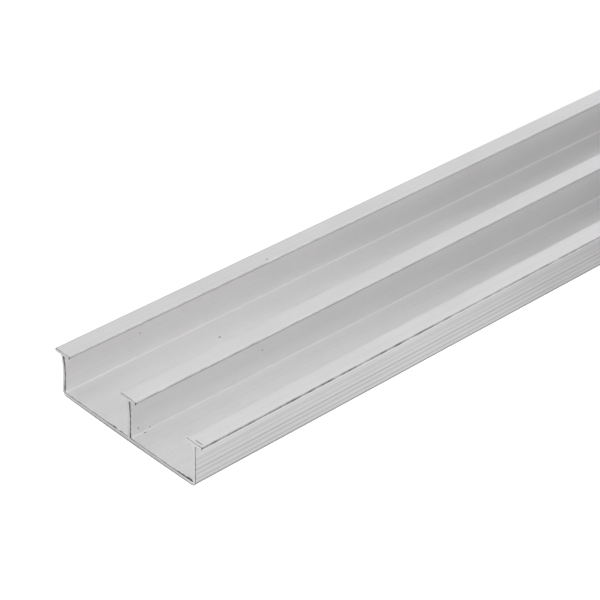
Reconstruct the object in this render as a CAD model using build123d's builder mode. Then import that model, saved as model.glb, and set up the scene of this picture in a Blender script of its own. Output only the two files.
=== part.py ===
from build123d import *
from math import isclose
import os

# Aluminium extrusion profile: one bar of stock with a flat base and upright webs,
# each web topped by a T-head, so that open channels run along its length.
# Millimetres. X runs along the bar, +Y points to the back web and +Z up.
# The origin is at the middle of the underside.

# Driving dimensions of the bar
length = 1000.0
height = 20.6

# Driving dimensions of the walls
base_thickness = 1.8
web_thickness = 1.5
head_thickness = 1.5
head_width = 8.9

# Driving dimensions of the channels, clear between web faces
back_channel_width = 38.9
front_channel_width = 36.6

# Radii left by the die
base_corner_radius = 2.2
channel_corner_radius = 0.5
head_root_radius = 0.5
head_edge_radius = 0.6

# Most of a T-head's thickness that the round on one of its edges may take
largest_round_share = 0.45

# How near a corner lies to its nominal place to be taken as standing there
match_tolerance = 0.001

# Web positions across the bar
base_width = back_channel_width + front_channel_width + 3 * web_thickness
back_web = (base_width - web_thickness) / 2
middle_web = back_web - back_channel_width - web_thickness
front_web = middle_web - front_channel_width - web_thickness
web_centres = (back_web, middle_web, front_web)


def beside_web(corners, distance):
    """Of the section's corners, those that stand this far to either side of a web's centre."""
    return corners.filter_by(
        lambda corner: any(
            isclose(abs(corner.X - centre), distance, abs_tol=match_tolerance)
            for centre in web_centres
        )
    )


with BuildPart() as double_channel_profile:
    with BuildSketch(Plane.YZ.offset(-length / 2)) as section:
        # Base plate, from the outer face of one side web to that of the other
        Rectangle(base_width, base_thickness, align=(Align.CENTER, Align.MIN))

        # Webs and the T-heads that cap them
        for centre in web_centres:
            with Locations((centre, 0)):
                Rectangle(web_thickness, height, align=(Align.CENTER, Align.MIN))
            with Locations((centre, height)):
                Rectangle(head_width, head_thickness, align=(Align.CENTER, Align.MAX))

        # Round on every edge of the T-heads, so that they end in a blunt nose
        nose_radius = min(head_edge_radius, largest_round_share * head_thickness)
        fillet(beside_web(section.vertices(), head_width / 2), radius=nose_radius)

        # Root fillets where the webs run into the T-heads
        upper_corners = section.vertices().filter_by(lambda corner: corner.Y > height / 2)
        fillet(beside_web(upper_corners, web_thickness / 2), radius=head_root_radius)

        # Inner corners between the webs and the channel floors
        floor_corners = section.vertices().group_by(Axis.Y)[1]
        fillet(floor_corners, radius=channel_corner_radius)

        # Outer corners of the base
        underside_corners = section.vertices().group_by(Axis.Y)[0]
        fillet(underside_corners, radius=base_corner_radius)

    extrude(amount=length)

double_channel_profile.part.label = "double_channel_profile"

os.makedirs("parts", exist_ok=True)
export_step(double_channel_profile.part, "parts/double_channel_profile.step")
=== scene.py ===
import math

import bmesh
import bpy
from mathutils import Euler, Matrix, Vector, noise


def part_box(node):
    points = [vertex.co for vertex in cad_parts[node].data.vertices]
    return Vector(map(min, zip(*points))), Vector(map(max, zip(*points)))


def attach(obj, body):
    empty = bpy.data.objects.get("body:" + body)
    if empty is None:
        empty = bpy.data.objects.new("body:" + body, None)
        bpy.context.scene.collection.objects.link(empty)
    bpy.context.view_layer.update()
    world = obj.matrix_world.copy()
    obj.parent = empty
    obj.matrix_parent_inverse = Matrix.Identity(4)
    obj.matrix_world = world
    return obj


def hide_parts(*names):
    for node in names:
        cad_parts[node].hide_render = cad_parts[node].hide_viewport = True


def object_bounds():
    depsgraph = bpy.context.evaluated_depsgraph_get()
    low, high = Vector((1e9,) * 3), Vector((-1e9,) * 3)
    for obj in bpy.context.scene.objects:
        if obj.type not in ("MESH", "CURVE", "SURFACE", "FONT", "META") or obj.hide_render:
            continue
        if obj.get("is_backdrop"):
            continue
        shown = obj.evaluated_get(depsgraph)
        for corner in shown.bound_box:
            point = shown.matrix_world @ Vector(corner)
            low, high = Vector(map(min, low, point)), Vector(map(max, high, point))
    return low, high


bl_info = {
    "name": "Channel Profile Finish",
    "version": (1, 0, 0),
    "blender": (4, 5, 0),
    "location": "View3D > Sidebar > Profile",
    "description": "Dresses a bar of extruded aluminium profile and sets up its studio",
    "category": "Object",
}

# The fixed frame: the bar as it was engineered, in metres, X along the bar and Z up
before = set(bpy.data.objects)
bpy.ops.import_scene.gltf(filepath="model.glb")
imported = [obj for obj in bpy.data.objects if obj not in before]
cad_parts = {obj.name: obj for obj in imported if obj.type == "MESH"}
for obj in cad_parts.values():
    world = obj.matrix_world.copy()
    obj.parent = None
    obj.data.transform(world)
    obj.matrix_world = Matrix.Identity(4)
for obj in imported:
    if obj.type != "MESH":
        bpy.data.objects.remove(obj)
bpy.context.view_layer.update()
NODE = "double_channel_profile"
BAR_LOW, BAR_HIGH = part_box(NODE)
BODY = "root"
MM = 0.001

# Material slots of the bar's mesh
MILL, SAWN, ARRIS = 0, 1, 2


class SectionSizes(bpy.types.PropertyGroup):
    """The section of the bar. Its height, width and length come from the frame."""

    base_width: bpy.props.FloatProperty(
        name="Base width", description="Between the outer faces of the side webs",
        default=80.0 * MM, unit="LENGTH")
    base_thickness: bpy.props.FloatProperty(
        name="Base thickness", description="Thickness of the channel floors",
        default=1.8 * MM, unit="LENGTH")
    web_thickness: bpy.props.FloatProperty(
        name="Web thickness", description="Thickness of the upright walls",
        default=1.5 * MM, unit="LENGTH")
    head_thickness: bpy.props.FloatProperty(
        name="Head thickness", description="Thickness of the T-heads",
        default=1.5 * MM, unit="LENGTH")
    middle_web: bpy.props.FloatProperty(
        name="Middle web", description="Place of the middle web across the bar",
        default=-1.15 * MM, unit="LENGTH")
    base_corner: bpy.props.FloatProperty(
        name="Base corner", description="Radius of the outer corners of the base",
        default=2.2 * MM, unit="LENGTH")
    channel_corner: bpy.props.FloatProperty(
        name="Channel corner", description="Radius between a web and a channel floor",
        default=0.5 * MM, unit="LENGTH")
    head_root: bpy.props.FloatProperty(
        name="Head root", description="Radius between a web and its T-head",
        default=0.5 * MM, unit="LENGTH")
    head_edge: bpy.props.FloatProperty(
        name="Head edge", description="Radius on the edges of the T-heads",
        default=0.4 * MM, unit="LENGTH")
    arris: bpy.props.FloatProperty(
        name="Arris", description="Size of the broken edges round the saw cut",
        default=0.30 * MM, unit="LENGTH")
    burr: bpy.props.FloatProperty(
        name="Burr", description="How far the saw pulled a burr down under the near cut",
        default=0.45 * MM, unit="LENGTH")
    back_bow: bpy.props.FloatProperty(
        name="Back web bow", description="How far the saw pushed the back web out of true",
        default=0.75 * MM, unit="LENGTH")
    middle_bow: bpy.props.FloatProperty(
        name="Middle web bow",
        description="How far the saw pushed the middle web out of true",
        default=0.35 * MM, unit="LENGTH")


class FinishLook(bpy.types.PropertyGroup):
    """The mill finish."""

    metal: bpy.props.FloatVectorProperty(
        name="Metal", description="Colour of the bare aluminium",
        default=(0.803, 0.797, 0.800), size=3, min=0, max=1, subtype="COLOR")
    roughness: bpy.props.FloatProperty(
        name="Roughness", description="Roughness of the extruded faces",
        default=0.34, min=0, max=1, subtype="FACTOR")
    brushing: bpy.props.FloatProperty(
        name="Brushing", description="How much more the gloss spreads across the bar",
        default=0.80, min=0, max=1, subtype="FACTOR")
    line_depth: bpy.props.FloatProperty(
        name="Die lines", description="Depth of the lines drawn along the bar by the die",
        default=0.010 * MM, unit="LENGTH")
    # Its strength also sets the painted shade along the foot of the outer walls.
    score_and_shade_strength: bpy.props.FloatProperty(
        name="Scored lines",
        description="How much the scores down the outer walls darken them",
        default=0.095, min=0, max=1, subtype="FACTOR")
    # Painted shade: the outer walls' colour is darkened to make up for the glowing floor
    # they reflect.
    outer_painted_shade: bpy.props.FloatProperty(
        name="Outer dulling",
        description="How much duller the outer walls are than the rest",
        default=0.41, min=0, max=1, subtype="FACTOR")
    sawn_metal: bpy.props.FloatVectorProperty(
        name="Sawn metal", description="Colour of the freshly cut ends",
        default=(0.47, 0.467, 0.47), size=3, min=0, max=1, subtype="COLOR")
    back_dulling: bpy.props.FloatProperty(
        name="Back dulling", description="How much duller the cut is behind the front web",
        default=0.13, min=0, max=1, subtype="FACTOR")
    sawn_roughness: bpy.props.FloatProperty(
        name="Sawn roughness", description="Roughness of the cut ends",
        default=0.40, min=0, max=1, subtype="FACTOR")
    saw_mark_depth: bpy.props.FloatProperty(
        name="Saw marks", description="Depth of the marks of the saw's teeth",
        default=0.008 * MM, unit="LENGTH")
    # Dark partly as torn metal and partly as painted shade along the edges of the cut.
    arris_metal_and_shade: bpy.props.FloatVectorProperty(
        name="Arris metal", description="Colour of the torn edges round the saw cut",
        default=(0.13, 0.128, 0.127), size=3, min=0, max=1, subtype="COLOR")


class StudioLook(bpy.types.PropertyGroup):
    """The floor, the light and the camera."""

    floor_colour: bpy.props.FloatVectorProperty(
        name="Floor", description="Colour of the floor",
        default=(0.56, 0.56, 0.56), size=3, min=0, max=1, subtype="COLOR")
    # Painted light: the floor itself glows, more at the near end, washing out the bar's
    # shadow on it.
    floor_glow: bpy.props.FloatVectorProperty(
        name="Floor glow",
        description="Light that comes up through the floor, left and right",
        default=(0.92, 0.50), size=2, min=0)
    surround: bpy.props.FloatProperty(
        name="Surround", description="Brightness of the white room round the soft boxes",
        default=0.5, min=0)
    camera_place: bpy.props.FloatVectorProperty(
        name="Camera place", description="Where the camera stands",
        default=(-0.93409, -0.54752, 0.52153), size=3, unit="LENGTH")
    camera_turn: bpy.props.FloatVectorProperty(
        name="Camera turn", description="Euler angles of the camera",
        default=(math.radians(56.771), math.radians(-1.0185), math.radians(-43.0948)),
        size=3, subtype="EULER")
    lens: bpy.props.FloatProperty(
        name="Lens", description="Focal length of the camera in millimetres",
        default=135.51, min=1)


# Measures of the bar down to its marks are in millimetres. Its rings of vertices are
# counted from the near end. They are close together where the saw bent the webs and left
# its marks, and sparse further on.
NEAR_RINGS = (
    0.8, 1.6, 2.6, 4, 6, 8.5, 12, 16, 21, 27, 34, 43, 55, 70, 90, 120, 160, 220, 300,
)
FAR_RINGS = 4  # How many of them the far end has too
STRAIGHT_STEP = 1.3  # Between vertices along the straight parts of the section
SHARP_ANGLE = math.radians(20)

# Nicks in the outer edge of the back T-head: place from the near end, length and depth
NICKS = ((104.4, 2.2, 0.25), (128.8, 3.6, 0.35), (162.8, 2.0, 0.30), (166.7, 2.0, 0.30))
# Deeper tears in the edge of the channel floors at the near cut: from and to across the
# bar, and depth
# With the dark arris colour they darken the floor's edge before the webs: torn metal, and
# painted shade in the corner at the front web's foot.
TEARS = ((10.4, 6.5, 0.3), (5.3, 1.6, 0.35), (-30.0, -34.5, 0.3), (-33.5, -38.4, 0.6))
# How wide and how deep the saw broke an edge, as shares of the arris, by the way it faces.
# An edge that faces the front or the back is broken as deep as it is wide, and the front
# head and web have less of it than the other fronts.
UP_WIDTH, UP_DEPTH = 0.35, 0.6
DOWN_WIDTH, DOWN_DEPTH = 0.3, 0.25
UNDERSIDE_WIDTH = 1.8
FRONT_MOST_SHARE, FRONT_SHARE, BACK_SHARE = 0.6, 1.2, 0.4
FRONT_MOST_REACH = 6.0  # From the front of the bar
RAGGEDNESS, RAGGED_SCALE = 0.9, 800
# How far from the near cut the webs are bowed: fully up to the first, not past the second
BOW_FADE = (2.0, 45.0)

# Scores down the outer walls: height and strength
SCORES = (
    (13.4, 0.9), (12.3, 0.8), (10.4, 1.0), (8.1, 0.9), (5.9, 0.9), (3.9, 1.0), (2.0, 1.6),
)
SCORE_WANDER = 0.35  # How far a score strays up and down along the bar
# Noses of the T-heads: place of the tip across the bar and how much painted shade darkens
# it where its highlight falls
NOSE_SHADE = (
    (34.8, 0.32), (-5.6, 0.35), (-43.7, 0.45), (43.7, 0.55), (3.3, 0.10), (-34.8, 0.10),
)
# Dark line down the front nose: height and strength
NOSE_DARK_LINE = (19.95, 0.39)
# Specks and scratches: place on the bar and half their size along X, Y and Z
MARKS = (
    (-461.4, 38.5, 12.7, 0.35, 1, 0.35),
    (-428.8, 27.1, 1.8, 0.55, 0.45, 1),
    (-493.4, -2.8, 1.9, 0.45, 0.5, 0.6),
    (-496.1, -1.9, 4.8, 0.35, 1, 0.4),
    (-490.2, -1.9, 2.5, 0.3, 1, 0.3),
    (-394.3, 36.5, 20.6, 0.6, 0.35, 1),
    (-431.6, -1.9, 11.6, 0.35, 1, 0.3),
    (-395.6, 43.5, 20.5, 1.3, 0.5, 0.7),
    (-371.2, 43.4, 20.5, 2.2, 0.5, 0.7),
    (-337.2, 43.5, 20.5, 1.2, 0.5, 0.7),
    (-333.3, 43.5, 20.5, 1.1, 0.5, 0.7),
    (-498.5, -40.6, 20.6, 0.22, 2.3, 1),
)

# Fineness of the finish's patterns along X, Y and Z, in waves per metre
FINE_LINES = (4, 1700, 1700)
BROAD_LINES = (1.5, 260, 260)
SCRATCHES = (0.7, 900, 900)
CLOUDS = (35, 60, 60)
GRAIN = (700, 900, 900)
BLOTCHES = (160, 160, 160)
WANDER = (9, 9, 9)
SMEARS = (300, 420, 420)
TORN_METAL = (900, 900, 900)
# The saw's marks are rings about a point in front of the bar and above it: what takes that
# point to the origin, in metres, and the fineness of the rings
SAW_MIDDLE = (0, 0.06, -0.19)
SAW_TEETH = 620


class PROFILE_OT_bar(bpy.types.Operator):
    """Model the extruded bar with its fine radii and lay it over the fixed frame"""

    bl_idname = "profile.bar"
    bl_label = "Extruded bar"

    def execute(self, context):
        sizes = context.scene.profile_sizes
        look = context.scene.profile_finish
        mesh = bpy.data.meshes.new("extruded_bar")
        bar = bpy.data.objects.new("extruded_bar", mesh)
        context.collection.objects.link(bar)

        shape = bmesh.new()
        draw_section(shape, sizes)
        push_through_die(shape)
        break_arrises(shape, sizes)
        bow_webs(shape, sizes)
        cut_nicks(shape, sizes)
        bmesh.ops.recalc_face_normals(shape, faces=shape.faces)
        if any(not edge.is_manifold for edge in shape.edges):
            raise RuntimeError("the bar is not closed")
        shape.to_mesh(mesh)
        shape.free()

        for face in mesh.polygons:
            face.use_smooth = True
        mesh.set_sharp_from_angle(angle=SHARP_ANGLE)
        mesh.materials.append(mill_finish(look))
        mesh.materials.append(sawn_finish(look))
        mesh.materials.append(arris_finish(look))
        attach(bar, BODY)
        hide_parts(NODE)
        return {"FINISHED"}


def web_centres(sizes):
    """Where the webs stand across the bar, from front to back."""
    side = (sizes.base_width - sizes.web_thickness) / 2
    return (-side, sizes.middle_web, side)


def near(value, place):
    """Whether a measure is the nominal one."""
    return abs(value - place) < 0.005 * MM


def off_web(across, distance, sizes):
    """Whether a place lies this far to either side of a web's centre."""
    return any(near(abs(across - centre), distance) for centre in web_centres(sizes))


def draw_section(shape, sizes):
    """The section as one flat face at the near end: base, webs, T-heads and their radii."""
    height = BAR_HIGH.z
    head_width = BAR_HIGH.y - BAR_LOW.y - sizes.base_width + sizes.web_thickness
    neck = height - sizes.head_thickness
    half_web = sizes.web_thickness / 2

    # Base, drawn flat with X across the bar and Y up, and cut where the webs rise
    bmesh.ops.create_grid(shape, x_segments=1, y_segments=1, size=0.5)
    bmesh.ops.scale(
        shape, vec=(sizes.base_width, sizes.base_thickness, 1), verts=shape.verts)
    bmesh.ops.translate(shape, vec=(0, sizes.base_thickness / 2, 0), verts=shape.verts)
    for centre in web_centres(sizes):
        for side in (-half_web, half_web):
            bmesh.ops.bisect_plane(
                shape, geom=shape.verts[:] + shape.edges[:] + shape.faces[:], dist=1e-7,
                plane_co=(centre + side, 0, 0), plane_no=(1, 0, 0))

    # Webs pulled up from the base, and T-heads pulled up and then out of the webs
    feet = [
        edge for edge in shape.edges
        if all(near(v.co.y, sizes.base_thickness) and off_web(v.co.x, half_web, sizes)
               for v in edge.verts) and near(edge.calc_length(), sizes.web_thickness)
    ]
    necks = pull(shape, feet, (0, neck - sizes.base_thickness, 0))
    pull(shape, necks, (0, sizes.head_thickness, 0))
    reach = head_width / 2 - half_web
    for side in (-1, 1):
        flanks = [
            edge for edge in shape.edges
            if all(v.co.y > neck - 0.01 * MM for v in edge.verts)
            and any(near(v.co.x - centre, side * half_web)
                    for centre in web_centres(sizes) for v in edge.verts[:1])
            and near(edge.verts[0].co.x, edge.verts[1].co.x)
        ]
        pull(shape, flanks, (side * reach, 0, 0))

    # One face, with vertices only at its corners
    inner = [edge for edge in shape.edges if len(edge.link_faces) == 2]
    bmesh.ops.dissolve_edges(shape, edges=inner, use_verts=False)
    straight = [vert for vert in shape.verts if vert.calc_edge_angle() < math.radians(1)]
    bmesh.ops.dissolve_verts(shape, verts=straight)

    # Radii
    round_corners(shape, lambda y, z: near(z, 0), sizes.base_corner, 10)
    round_corners(
        shape, lambda y, z: near(z, sizes.base_thickness), sizes.channel_corner, 6)
    round_corners(
        shape, lambda y, z: near(z, neck) and off_web(y, half_web, sizes),
        sizes.head_root, 6)
    round_corners(
        shape, lambda y, z: off_web(y, head_width / 2, sizes), sizes.head_edge, 6)

    # Points along the long straights, so that they can follow the dents and bows
    for edge in list(shape.edges):
        pieces = round(edge.calc_length() / (STRAIGHT_STEP * MM))
        if pieces > 1:
            bmesh.ops.subdivide_edges(shape, edges=[edge], cuts=pieces - 1)

    # Stand the section up across the bar, at the near end
    stand_up = Matrix(((0, 0, 1, 0), (1, 0, 0, 0), (0, 1, 0, 0), (0, 0, 0, 1)))
    bmesh.ops.transform(shape, matrix=stand_up, verts=shape.verts)
    bmesh.ops.translate(shape, vec=(BAR_LOW.x, 0, 0), verts=shape.verts)


def pull(shape, edges, way):
    """Extrude edges sideways into faces and give back their new ends."""
    made = bmesh.ops.extrude_edge_only(shape, edges=edges)["geom"]
    verts = [part for part in made if isinstance(part, bmesh.types.BMVert)]
    bmesh.ops.translate(shape, vec=way, verts=verts)
    moved = set(verts)
    return [part for part in made if isinstance(part, bmesh.types.BMEdge)
            and all(v in moved for v in part.verts)]


def round_corners(shape, wanted, radius, segments):
    """Round the corners of the flat section for which wanted(across, up) is true."""
    corners = [vert for vert in shape.verts if wanted(vert.co.x, vert.co.y)]
    bmesh.ops.bevel(
        shape, geom=corners, offset=radius, offset_type="OFFSET", affect="VERTICES",
        segments=segments, profile=0.5, material=-1, clamp_overlap=False)


def push_through_die(shape):
    """Extrude the section along the bar, ring by ring."""
    length = (BAR_HIGH.x - BAR_LOW.x) / MM
    rings = {*NEAR_RINGS, *(length - place for place in NEAR_RINGS[:FAR_RINGS]), length}
    for place, span, _ in NICKS:
        rings |= {place + span * step / 4 for step in (-2, -1, 0, 1, 2)}
    faces = shape.faces[:]
    travelled = 0.0
    for ring in sorted(rings):
        made = bmesh.ops.extrude_face_region(shape, geom=faces)["geom"]
        if travelled:
            bmesh.ops.delete(shape, geom=faces, context="FACES_ONLY")
        verts = [part for part in made if isinstance(part, bmesh.types.BMVert)]
        faces = [part for part in made if isinstance(part, bmesh.types.BMFace)]
        bmesh.ops.translate(shape, vec=((ring - travelled) * MM, 0, 0), verts=verts)
        travelled = ring


def break_arrises(shape, sizes):
    """Break the edges round both sawn ends, and pull a burr down under the near one."""
    for end, inwards in ((BAR_LOW.x, 1), (BAR_HIGH.x, -1)):
        cap = [face for face in shape.faces if all(near(v.co.x, end) for v in face.verts)]
        first = sizes.arris / 4
        ring = bmesh.ops.inset_region(
            shape, faces=cap, thickness=first, use_even_offset=True,
            use_boundary=True)["faces"]
        for face in cap:
            face.material_index = SAWN
        for face in ring:
            face.material_index = ARRIS
        inner = {v for face in cap for v in face.verts}
        for edge in {edge for face in ring for edge in face.edges}:
            outer = set(edge.verts) - inner
            if len(outer) != 1:
                continue
            rim = outer.pop()
            lip = edge.other_vert(rim)
            out = (rim.co - lip.co).normalized()
            up, down = max(out.z, 0) ** 2, max(-out.z, 0) ** 2
            front, back = max(-out.y, 0) ** 2, max(out.y, 0) ** 2
            ragged = 1 + RAGGEDNESS * noise.noise(rim.co * RAGGED_SCALE)
            on_base = rim.co.z <= sizes.base_thickness
            front_most = rim.co.y < BAR_LOW.y + FRONT_MOST_REACH * MM
            front_share = FRONT_MOST_SHARE if front_most else FRONT_SHARE
            torn = front_share * front + BACK_SHARE * back
            down_width = UNDERSIDE_WIDTH if on_base else DOWN_WIDTH
            width = sizes.arris * (UP_WIDTH * up + down_width * down + torn)
            depth = sizes.arris * (UP_DEPTH * up + DOWN_DEPTH * down + torn)
            if inwards > 0 and up > 0.5:
                depth += tear(rim.co, sizes)
            if inwards > 0 and down > 0.5 and on_base:
                across = 2 * rim.co.y / sizes.base_width
                rim.co.z -= sizes.burr * (1 - across ** 2) * (0.4 + 0.6 * ragged)
            lip.co -= out * max(width * ragged - first, 0)
            rim.co.x += inwards * depth * ragged


def tear(place, sizes):
    """How much deeper the edge is torn at a place on the near cut."""
    if place.z > sizes.base_thickness + sizes.channel_corner:
        return 0
    deepest = 0
    for start, stop, depth in TEARS:
        along = (place.y / MM - start) / (stop - start)
        if 0 < along < 1:
            deepest = max(deepest, depth * MM * math.sin(math.pi * (0.15 + 0.7 * along)))
    return deepest


def smooth_step(low, high, value):
    """0 below low, 1 above high and a smooth rise between them."""
    share = min(max((value - low) / (high - low), 0), 1)
    return share * share * (3 - 2 * share)


def bow_webs(shape, sizes):
    """Push the back and middle webs a little towards the front, next to the near cut."""
    foot, neck = sizes.base_thickness, BAR_HIGH.z - sizes.head_thickness
    full, gone = BOW_FADE
    bows = zip(web_centres(sizes)[1:], (sizes.middle_bow, sizes.back_bow))
    for centre, bow in bows:
        for vert in shape.verts:
            if abs(vert.co.y - centre) > sizes.web_thickness * 0.6:
                continue
            if not foot < vert.co.z < neck:
                continue
            up = (vert.co.z - foot) / (neck - foot)
            fading = 1 - smooth_step(full * MM, gone * MM, vert.co.x - BAR_LOW.x)
            vert.co.y -= bow * math.sin(math.pi * up ** 1.3) * fading


def cut_nicks(shape, sizes):
    """Small nicks in the outer edge of the back T-head."""
    edge, under = BAR_HIGH.y - sizes.head_edge, BAR_HIGH.z - sizes.head_thickness
    for vert in shape.verts:
        if vert.co.y < edge or vert.co.z < under:
            continue
        for place, span, depth in NICKS:
            away = abs(vert.co.x - BAR_LOW.x - place * MM) / (span * MM / 2)
            if away < 1:
                vert.co.y -= depth * MM * (1 - away)


def add_node(tree, kind, **settings):
    """A node with its plain settings made."""
    node = tree.nodes.new(kind)
    for name, value in settings.items():
        setattr(node, name, value)
    return node


def pattern(tree, places, scale, detail=3.0, roughness=0.55):
    """Noise over the bar, with its own fineness along X, Y and Z, from 0 to 1."""
    mapping = add_node(tree, "ShaderNodeMapping")
    mapping.inputs["Scale"].default_value = scale
    grain = add_node(tree, "ShaderNodeTexNoise", noise_dimensions="3D")
    grain.inputs["Scale"].default_value = 1.0
    grain.inputs["Detail"].default_value = detail
    grain.inputs["Roughness"].default_value = roughness
    tree.links.new(places, mapping.inputs["Vector"])
    tree.links.new(mapping.outputs["Vector"], grain.inputs["Vector"])
    return grain.outputs["Fac"]


def sum_of(tree, start, *terms):
    """A start value plus each pattern times its share."""
    total = start
    for pattern_out, share in terms:
        step = add_node(tree, "ShaderNodeMath", operation="MULTIPLY_ADD")
        tree.links.new(pattern_out, step.inputs[0])
        for socket, value in ((step.inputs[1], share), (step.inputs[2], total)):
            if isinstance(value, (int, float)):
                socket.default_value = value
            else:
                tree.links.new(value, socket)
        total = step.outputs[0]
    return total


def ramp(tree, value, low, high, to_low, to_high, smooth=True):
    """A value carried from one span to another."""
    span = add_node(
        tree, "ShaderNodeMapRange",
        interpolation_type="SMOOTHSTEP" if smooth else "LINEAR")
    for name, number in (
        ("From Min", low), ("From Max", high), ("To Min", to_low), ("To Max", to_high),
    ):
        span.inputs[name].default_value = number
    tree.links.new(value, span.inputs["Value"])
    return span.outputs["Result"]


def start_metal(name, colour, roughness):
    """A bare metal material with its tree, its shader and the places on the bar."""
    material = bpy.data.materials.new(name)
    material.use_nodes = True
    material.diffuse_color = (*colour, 1)
    material.metallic = 1.0
    tree = material.node_tree
    shader = tree.nodes["Principled BSDF"]
    shader.inputs["Metallic"].default_value = 1.0
    shader.inputs["Roughness"].default_value = roughness
    places = add_node(tree, "ShaderNodeTexCoord").outputs["Object"]
    return material, tree, shader, places


def tint(tree, shader, colour, share):
    """Give the shader the plain colour times a share that varies over the bar."""
    scale = add_node(tree, "ShaderNodeVectorMath", operation="SCALE")
    scale.inputs[0].default_value = colour
    tree.links.new(share, scale.inputs["Scale"])
    tree.links.new(scale.outputs["Vector"], shader.inputs["Base Color"])


def emboss(tree, shader, height, depth):
    """Raise the surface by a height pattern, in metres."""
    bump = add_node(tree, "ShaderNodeBump")
    bump.inputs["Strength"].default_value = 1.0
    bump.inputs["Distance"].default_value = depth
    tree.links.new(height, bump.inputs["Height"])
    tree.links.new(bump.outputs["Normal"], shader.inputs["Normal"])


def coordinate(tree, places, axis):
    """One coordinate of the places on the bar."""
    split = add_node(tree, "ShaderNodeSeparateXYZ")
    tree.links.new(places, split.inputs[0])
    return split.outputs[axis]


def combine(tree, operation, first, second):
    """Two values, or a value and a number, put together."""
    step = add_node(tree, "ShaderNodeMath", operation=operation)
    tree.links.new(first, step.inputs[0])
    if isinstance(second, (int, float)):
        step.inputs[1].default_value = second
    else:
        tree.links.new(second, step.inputs[1])
    return step.outputs[0]


def outer_walls(tree, places):
    """1 on the outer faces of the side webs, below the T-heads, and 0 elsewhere."""
    across = combine(tree, "ABSOLUTE", coordinate(tree, places, "Y"), 0)
    out = ramp(tree, across, 39.6 * MM, 39.9 * MM, 0, 1)
    below = ramp(tree, coordinate(tree, places, "Z"), 18.8 * MM, 19.1 * MM, 1, 0)
    return combine(tree, "MULTIPLY", out, below)


def painted_light_under_heads(tree, places, outer):
    """Rises to 1 up the channels' walls, where painted light lifts the shade under the
    T-heads.
    """
    height = coordinate(tree, places, "Z")
    up = combine(tree, "MULTIPLY", ramp(tree, height, 7 * MM, 18 * MM, 0, 1),
                 ramp(tree, height, 19.0 * MM, 19.3 * MM, 1, 0))
    return combine(tree, "MULTIPLY", up, ramp(tree, outer, 0, 1, 1, 0, smooth=False))


def marks(tree, places):
    """1 on the specks and scratches and 0 elsewhere."""
    ragged = add_node(tree, "ShaderNodeTexNoise", noise_dimensions="3D")
    ragged.inputs["Scale"].default_value = 2500
    tree.links.new(places, ragged.inputs["Vector"])
    found = None
    for x, y, z, along, across, up in MARKS:
        mapping = add_node(tree, "ShaderNodeMapping", vector_type="TEXTURE")
        mapping.inputs["Location"].default_value = (x * MM, y * MM, z * MM)
        mapping.inputs["Scale"].default_value = (along * MM, across * MM, up * MM)
        tree.links.new(places, mapping.inputs["Vector"])
        away = add_node(tree, "ShaderNodeVectorMath", operation="LENGTH")
        tree.links.new(mapping.outputs["Vector"], away.inputs[0])
        torn = combine(tree, "ADD", away.outputs["Value"], ragged.outputs["Fac"])
        spot = ramp(tree, torn, 1.2, 1.6, 1, 0)
        found = combine(tree, "MAXIMUM", spot, found) if found else spot
    return found


def scores(tree, places):
    """How deep the straight scores down the outer walls are, about 1 in most of them."""
    height = coordinate(tree, places, "Z")
    wander = pattern(tree, places, WANDER, detail=1)
    height = sum_of(tree, height, (wander, SCORE_WANDER * MM))
    deep = None
    for place, strength in SCORES:
        away = combine(tree, "ABSOLUTE", combine(
            tree, "SUBTRACT", height, (place + SCORE_WANDER / 2) * MM), 0)
        line = ramp(tree, away, 0.05 * MM, 0.55 * MM, strength, 0)
        deep = combine(tree, "ADD", line, deep) if deep else line
    return deep


def painted_nose_shade(tree, places):
    """Painted shade on the noses of the T-heads where their highlights fall, above all near
    the near end, and a dark line down the front nose.
    """
    across = coordinate(tree, places, "Y")
    height = coordinate(tree, places, "Z")
    blotches = ramp(tree, pattern(tree, places, BLOTCHES), 0.25, 0.75, 0.75, 1.2)
    total = None
    for tip, shade in NOSE_SHADE:
        away = combine(tree, "ABSOLUTE", combine(tree, "SUBTRACT", across, tip * MM), 0)
        nose = ramp(tree, away, 0.20 * MM, 0.50 * MM, shade, 0)
        total = combine(tree, "ADD", nose, total) if total else nose
    for share in (
        ramp(tree, height, 18.7 * MM, 19.0 * MM, 0, 1),
        ramp(tree, height, 19.4 * MM, 20.1 * MM, 0.1, 1),
        ramp(tree, coordinate(tree, places, "X"), -0.46, -0.24, 1, 0.5),
        blotches,
    ):
        total = combine(tree, "MULTIPLY", total, share)
    place, strength = NOSE_DARK_LINE
    away = combine(tree, "ABSOLUTE", combine(tree, "SUBTRACT", height, place * MM), 0)
    dark_line = combine(
        tree, "MULTIPLY", ramp(tree, away, 0.20 * MM, 0.75 * MM, strength, 0),
        ramp(tree, across, -43.3 * MM, -43.45 * MM, 0, 1))
    return combine(tree, "ADD", total, combine(tree, "MULTIPLY", dark_line, blotches))


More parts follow.
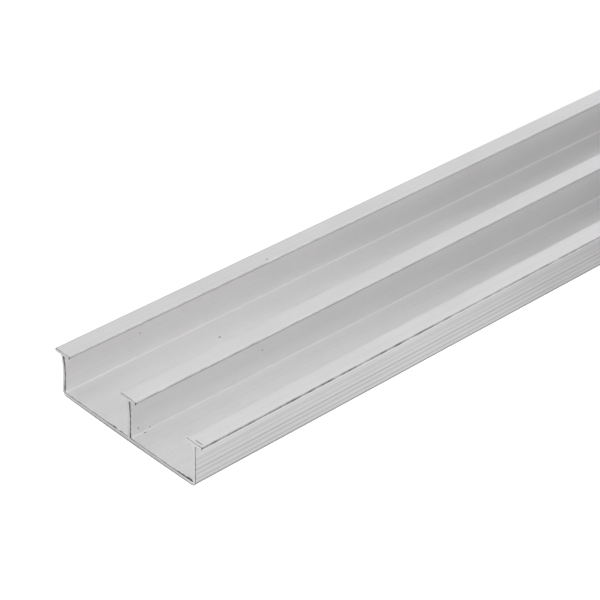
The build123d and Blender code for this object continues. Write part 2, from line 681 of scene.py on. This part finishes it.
def mill_finish(look):
    """Bare extruded aluminium: satin metal with fine lines drawn lengthwise by the die."""
    material, tree, shader, places = start_metal(
        "mill_aluminium", look.metal, look.roughness)
    fine_lines = pattern(tree, places, FINE_LINES, detail=4)
    broad_lines = pattern(tree, places, BROAD_LINES, detail=2)
    clouds = pattern(tree, places, CLOUDS, detail=4)
    grain = pattern(tree, places, GRAIN, detail=2)
    scratches = ramp(
        tree, pattern(tree, places, SCRATCHES, detail=1.5), 0.37, 0.46, 1, 0)
    outer = outer_walls(tree, places)
    # Painted shade along the foot of the outer walls, where they round into the floor,
    # mixed in with the real scores and scratches.
    painted_foot_shade = ramp(
        tree, coordinate(tree, places, "Z"), 1.5 * MM, 2.5 * MM, 1, 0)
    scores_and_painted_shade = combine(tree, "MULTIPLY", outer, sum_of(
        tree, scores(tree, places), (scratches, 0.5), (painted_foot_shade, 2.0)))
    spots = marks(tree, places)
    # Besides the metal's own lines, clouds, grain and marks, the colour carries painted
    # shade on the outer walls, their foot and the T-heads' noses, and painted light up the
    # channel walls.
    tint(tree, shader, look.metal, sum_of(
        tree, 0.87, (fine_lines, 0.06), (broad_lines, 0.05), (clouds, 0.08),
        (grain, 0.06), (scores_and_painted_shade, -look.score_and_shade_strength), (scratches, -0.02),
        (outer, -look.outer_painted_shade), (painted_nose_shade(tree, places), -1.0),
        (spots, -0.72), (painted_light_under_heads(tree, places, outer), 0.09)))
    tree.links.new(
        sum_of(tree, look.roughness - 0.08, (fine_lines, 0.06), (clouds, 0.10),
               (scores_and_painted_shade, 0.04)),
        shader.inputs["Roughness"])
    emboss(tree, shader, sum_of(
        tree, 0.0, (fine_lines, 0.5), (broad_lines, 1.0), (clouds, 1.0),
        (grain, 0.2), (scores_and_painted_shade, -0.4), (spots, -4.0)), look.line_depth)
    brush_across(tree, shader, look.brushing)
    return material


def brush_across(tree, shader, brushing):
    """Spread the gloss across the bar more than along it, as its lengthwise lines do."""
    shader.inputs["Anisotropic"].default_value = brushing
    facing = add_node(tree, "ShaderNodeNewGeometry").outputs["Normal"]
    across = add_node(tree, "ShaderNodeVectorMath", operation="CROSS_PRODUCT")
    tree.links.new(facing, across.inputs[0])
    across.inputs[1].default_value = (1, 0, 0)
    tree.links.new(across.outputs["Vector"], shader.inputs["Tangent"])


def sawn_finish(look):
    """The cut ends: metal crossed by the curved marks of the saw's teeth."""
    material, tree, shader, places = start_metal(
        "sawn_end", look.sawn_metal, look.sawn_roughness)
    swing = add_node(tree, "ShaderNodeMapping")
    swing.inputs["Location"].default_value = SAW_MIDDLE
    tree.links.new(places, swing.inputs["Vector"])
    teeth = add_node(
        tree, "ShaderNodeTexWave", wave_type="RINGS", rings_direction="X")
    teeth.inputs["Scale"].default_value = SAW_TEETH
    teeth.inputs["Distortion"].default_value = 2.5
    teeth.inputs["Detail"].default_value = 2
    teeth.inputs["Detail Scale"].default_value = 0.6
    tree.links.new(swing.outputs["Vector"], teeth.inputs["Vector"])
    smears = pattern(tree, places, SMEARS, detail=4)
    behind = ramp(tree, coordinate(tree, places, "Y"), -37 * MM, -29 * MM, 0, 1)
    tint(tree, shader, look.sawn_metal, sum_of(
        tree, 0.80, (teeth.outputs["Fac"], 0.14), (smears, 0.26),
        (behind, -look.back_dulling)))
    tree.links.new(
        sum_of(tree, look.sawn_roughness - 0.08, (smears, 0.16)),
        shader.inputs["Roughness"])
    emboss(tree, shader, sum_of(
        tree, 0.0, (teeth.outputs["Fac"], 1.0), (smears, 1.2)), look.saw_mark_depth)
    return material


def arris_finish(look):
    """The torn edges round the saw cut, rough, dark partly as torn metal and partly as
    painted shade along the cut's edges, and paler on the burr below.
    """
    material, tree, shader, places = start_metal("sawn_arris_and_shade", look.arris_metal_and_shade, 0.6)
    torn = pattern(tree, places, TORN_METAL, detail=4)
    below = ramp(tree, coordinate(tree, places, "Z"), 0.7 * MM, 1.2 * MM, 1, 0)
    tint(tree, shader, look.arris_metal_and_shade, sum_of(tree, 0.4, (torn, 1.2), (below, 1.3)))
    emboss(tree, shader, torn, look.line_depth * 3)
    return material


class PROFILE_OT_studio(bpy.types.Operator):
    """Lay the pale floor and set the soft light and the camera"""

    bl_idname = "profile.studio"
    bl_label = "Studio"

    def execute(self, context):
        look = context.scene.profile_studio
        lay_floor(context, look)
        light_studio(context, look)
        set_camera(context, look)
        context.scene.view_settings.view_transform = "Standard"
        context.scene.view_settings.look = "None"
        return {"FINISHED"}


FLOOR_RADIUS = 20.0
# Where the floor's glow goes over from its left to its right value
GLOW_SPAN = (-0.375, -0.205)
# Soft boxes of the studio: name, middle, the way each faces, width, height and brightness
SOFT_BOXES = (
    ("front_left", (-0.2, -1.1, 0.975), (0, 1, 0), 1.4, 0.85, 0.97),
    ("front_right", (0.5, -1.1, 0.975), (0, 1, 0), 0.2, 0.85, 2.25),
    ("front_far", (0.7, -1.1, 0.975), (0, 1, 0), 0.2, 0.85, 0.84),
    ("front_low", (0.2, -1.1, 0.3), (0, 1, 0), 0.8, 0.4, 2.3),
    ("front_low_right", (0.8, -1.1, 0.3), (0, 1, 0), 0.4, 0.4, 0.8),
    ("back_left", (-1.5, 1.2, 0.78), (0, -1, 0), 1.0, 1.45, 1.07),
    ("back", (-0.5, 1.2, 0.78), (0, -1, 0), 1.0, 1.45, 1.69),
    ("back_middle", (0.6, 1.2, 0.78), (0, -1, 0), 1.2, 1.45, 0.19),
    ("back_right", (1.6, 1.2, 0.78), (0, -1, 0), 0.8, 1.45, 0.40),
    ("right_front", (2.4, -0.4, 0.75), (-1, 0, 0), 1.6, 1.4, 0.72),
    ("right_back", (2.4, 0.8, 0.75), (-1, 0, 0), 0.8, 1.4, 1.04),
    ("overhead", (0.6, 0.0, 1.7), (0, 0, -1), 2.4, 2.4, 0.57),
)


def lay_floor(context, look):
    """A wide pale floor just under the bar, with a painted glow that is brighter at the
    near end.
    """
    mesh = bpy.data.meshes.new("floor")
    floor = bpy.data.objects.new("floor", mesh)
    context.collection.objects.link(floor)
    shape = bmesh.new()
    bmesh.ops.create_circle(shape, cap_ends=True, segments=64, radius=FLOOR_RADIUS)
    bmesh.ops.translate(shape, vec=(0, 0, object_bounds()[0][2]), verts=shape.verts)
    shape.to_mesh(mesh)
    shape.free()
    material = bpy.data.materials.new("floor")
    material.use_nodes = True
    shader = material.node_tree.nodes["Principled BSDF"]
    shader.inputs["Base Color"].default_value = (*look.floor_colour, 1)
    shader.inputs["Roughness"].default_value = 0.9
    shader.inputs["Specular IOR Level"].default_value = 0.0
    shader.inputs["Emission Color"].default_value = (1, 1, 1, 1)
    tree = material.node_tree
    along = coordinate(tree, add_node(tree, "ShaderNodeTexCoord").outputs["Object"], "X")
    tree.links.new(
        ramp(tree, along, *GLOW_SPAN, *look.floor_glow),
        shader.inputs["Emission Strength"])
    mesh.materials.append(material)
    floor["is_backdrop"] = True


def light_studio(context, look):
    """A white room with soft boxes round the bar, dimmer behind its far end."""
    world = bpy.data.worlds.new("studio")
    context.scene.world = world
    world.use_nodes = True
    room = world.node_tree.nodes["Background"]
    room.inputs["Color"].default_value = (1, 1, 1, 1)
    room.inputs["Strength"].default_value = look.surround
    for name, place, facing, width, height, brightness in SOFT_BOXES:
        data = bpy.data.lights.new(name, "AREA")
        box = bpy.data.objects.new(name, data)
        context.collection.objects.link(box)
        data.shape = "RECTANGLE"
        data.size, data.size_y = width, height
        data.energy = math.pi * width * height * brightness
        box.location = place
        box.rotation_euler = (-Vector(facing)).to_track_quat("Z", "Y").to_euler()
        box.visible_camera = False


def set_camera(context, look):
    """The camera at the angle of the photograph."""
    data = bpy.data.cameras.new("camera")
    camera = bpy.data.objects.new("camera", data)
    context.collection.objects.link(camera)
    data.lens = look.lens
    data.sensor_width = 36.0
    data.clip_start = 0.01
    data.clip_end = 100.0
    camera.location = look.camera_place
    camera.rotation_euler = Euler(look.camera_turn, "XYZ")
    context.scene.camera = camera


class PROFILE_PT_panel(bpy.types.Panel):
    """Everything that makes up the dressed bar"""

    bl_idname = "PROFILE_PT_panel"
    bl_label = "Channel profile"
    bl_space_type = "VIEW_3D"
    bl_region_type = "UI"
    bl_category = "Profile"

    def draw(self, context):
        layout = self.layout
        for name, group in GROUPS.items():
            box = layout.box()
            for size in group.__annotations__:
                box.prop(getattr(context.scene, name), size)
        for operator in OPERATORS:
            layout.operator(operator.bl_idname)


GROUPS = {
    "profile_sizes": SectionSizes,
    "profile_finish": FinishLook,
    "profile_studio": StudioLook,
}
OPERATORS = (PROFILE_OT_bar, PROFILE_OT_studio)


def register():
    for name, group in GROUPS.items():
        bpy.utils.register_class(group)
        setattr(bpy.types.Scene, name, bpy.props.PointerProperty(type=group))
    for operator in OPERATORS:
        bpy.utils.register_class(operator)
    bpy.utils.register_class(PROFILE_PT_panel)


def unregister():
    bpy.utils.unregister_class(PROFILE_PT_panel)
    for operator in reversed(OPERATORS):
        bpy.utils.unregister_class(operator)
    for name, group in reversed(GROUPS.items()):
        delattr(bpy.types.Scene, name)
        bpy.utils.unregister_class(group)


def main():
    """Build the dressed bar in its studio."""
    register()
    bpy.ops.profile.bar()
    bpy.ops.profile.studio()


if __name__ == "__main__":
    main()
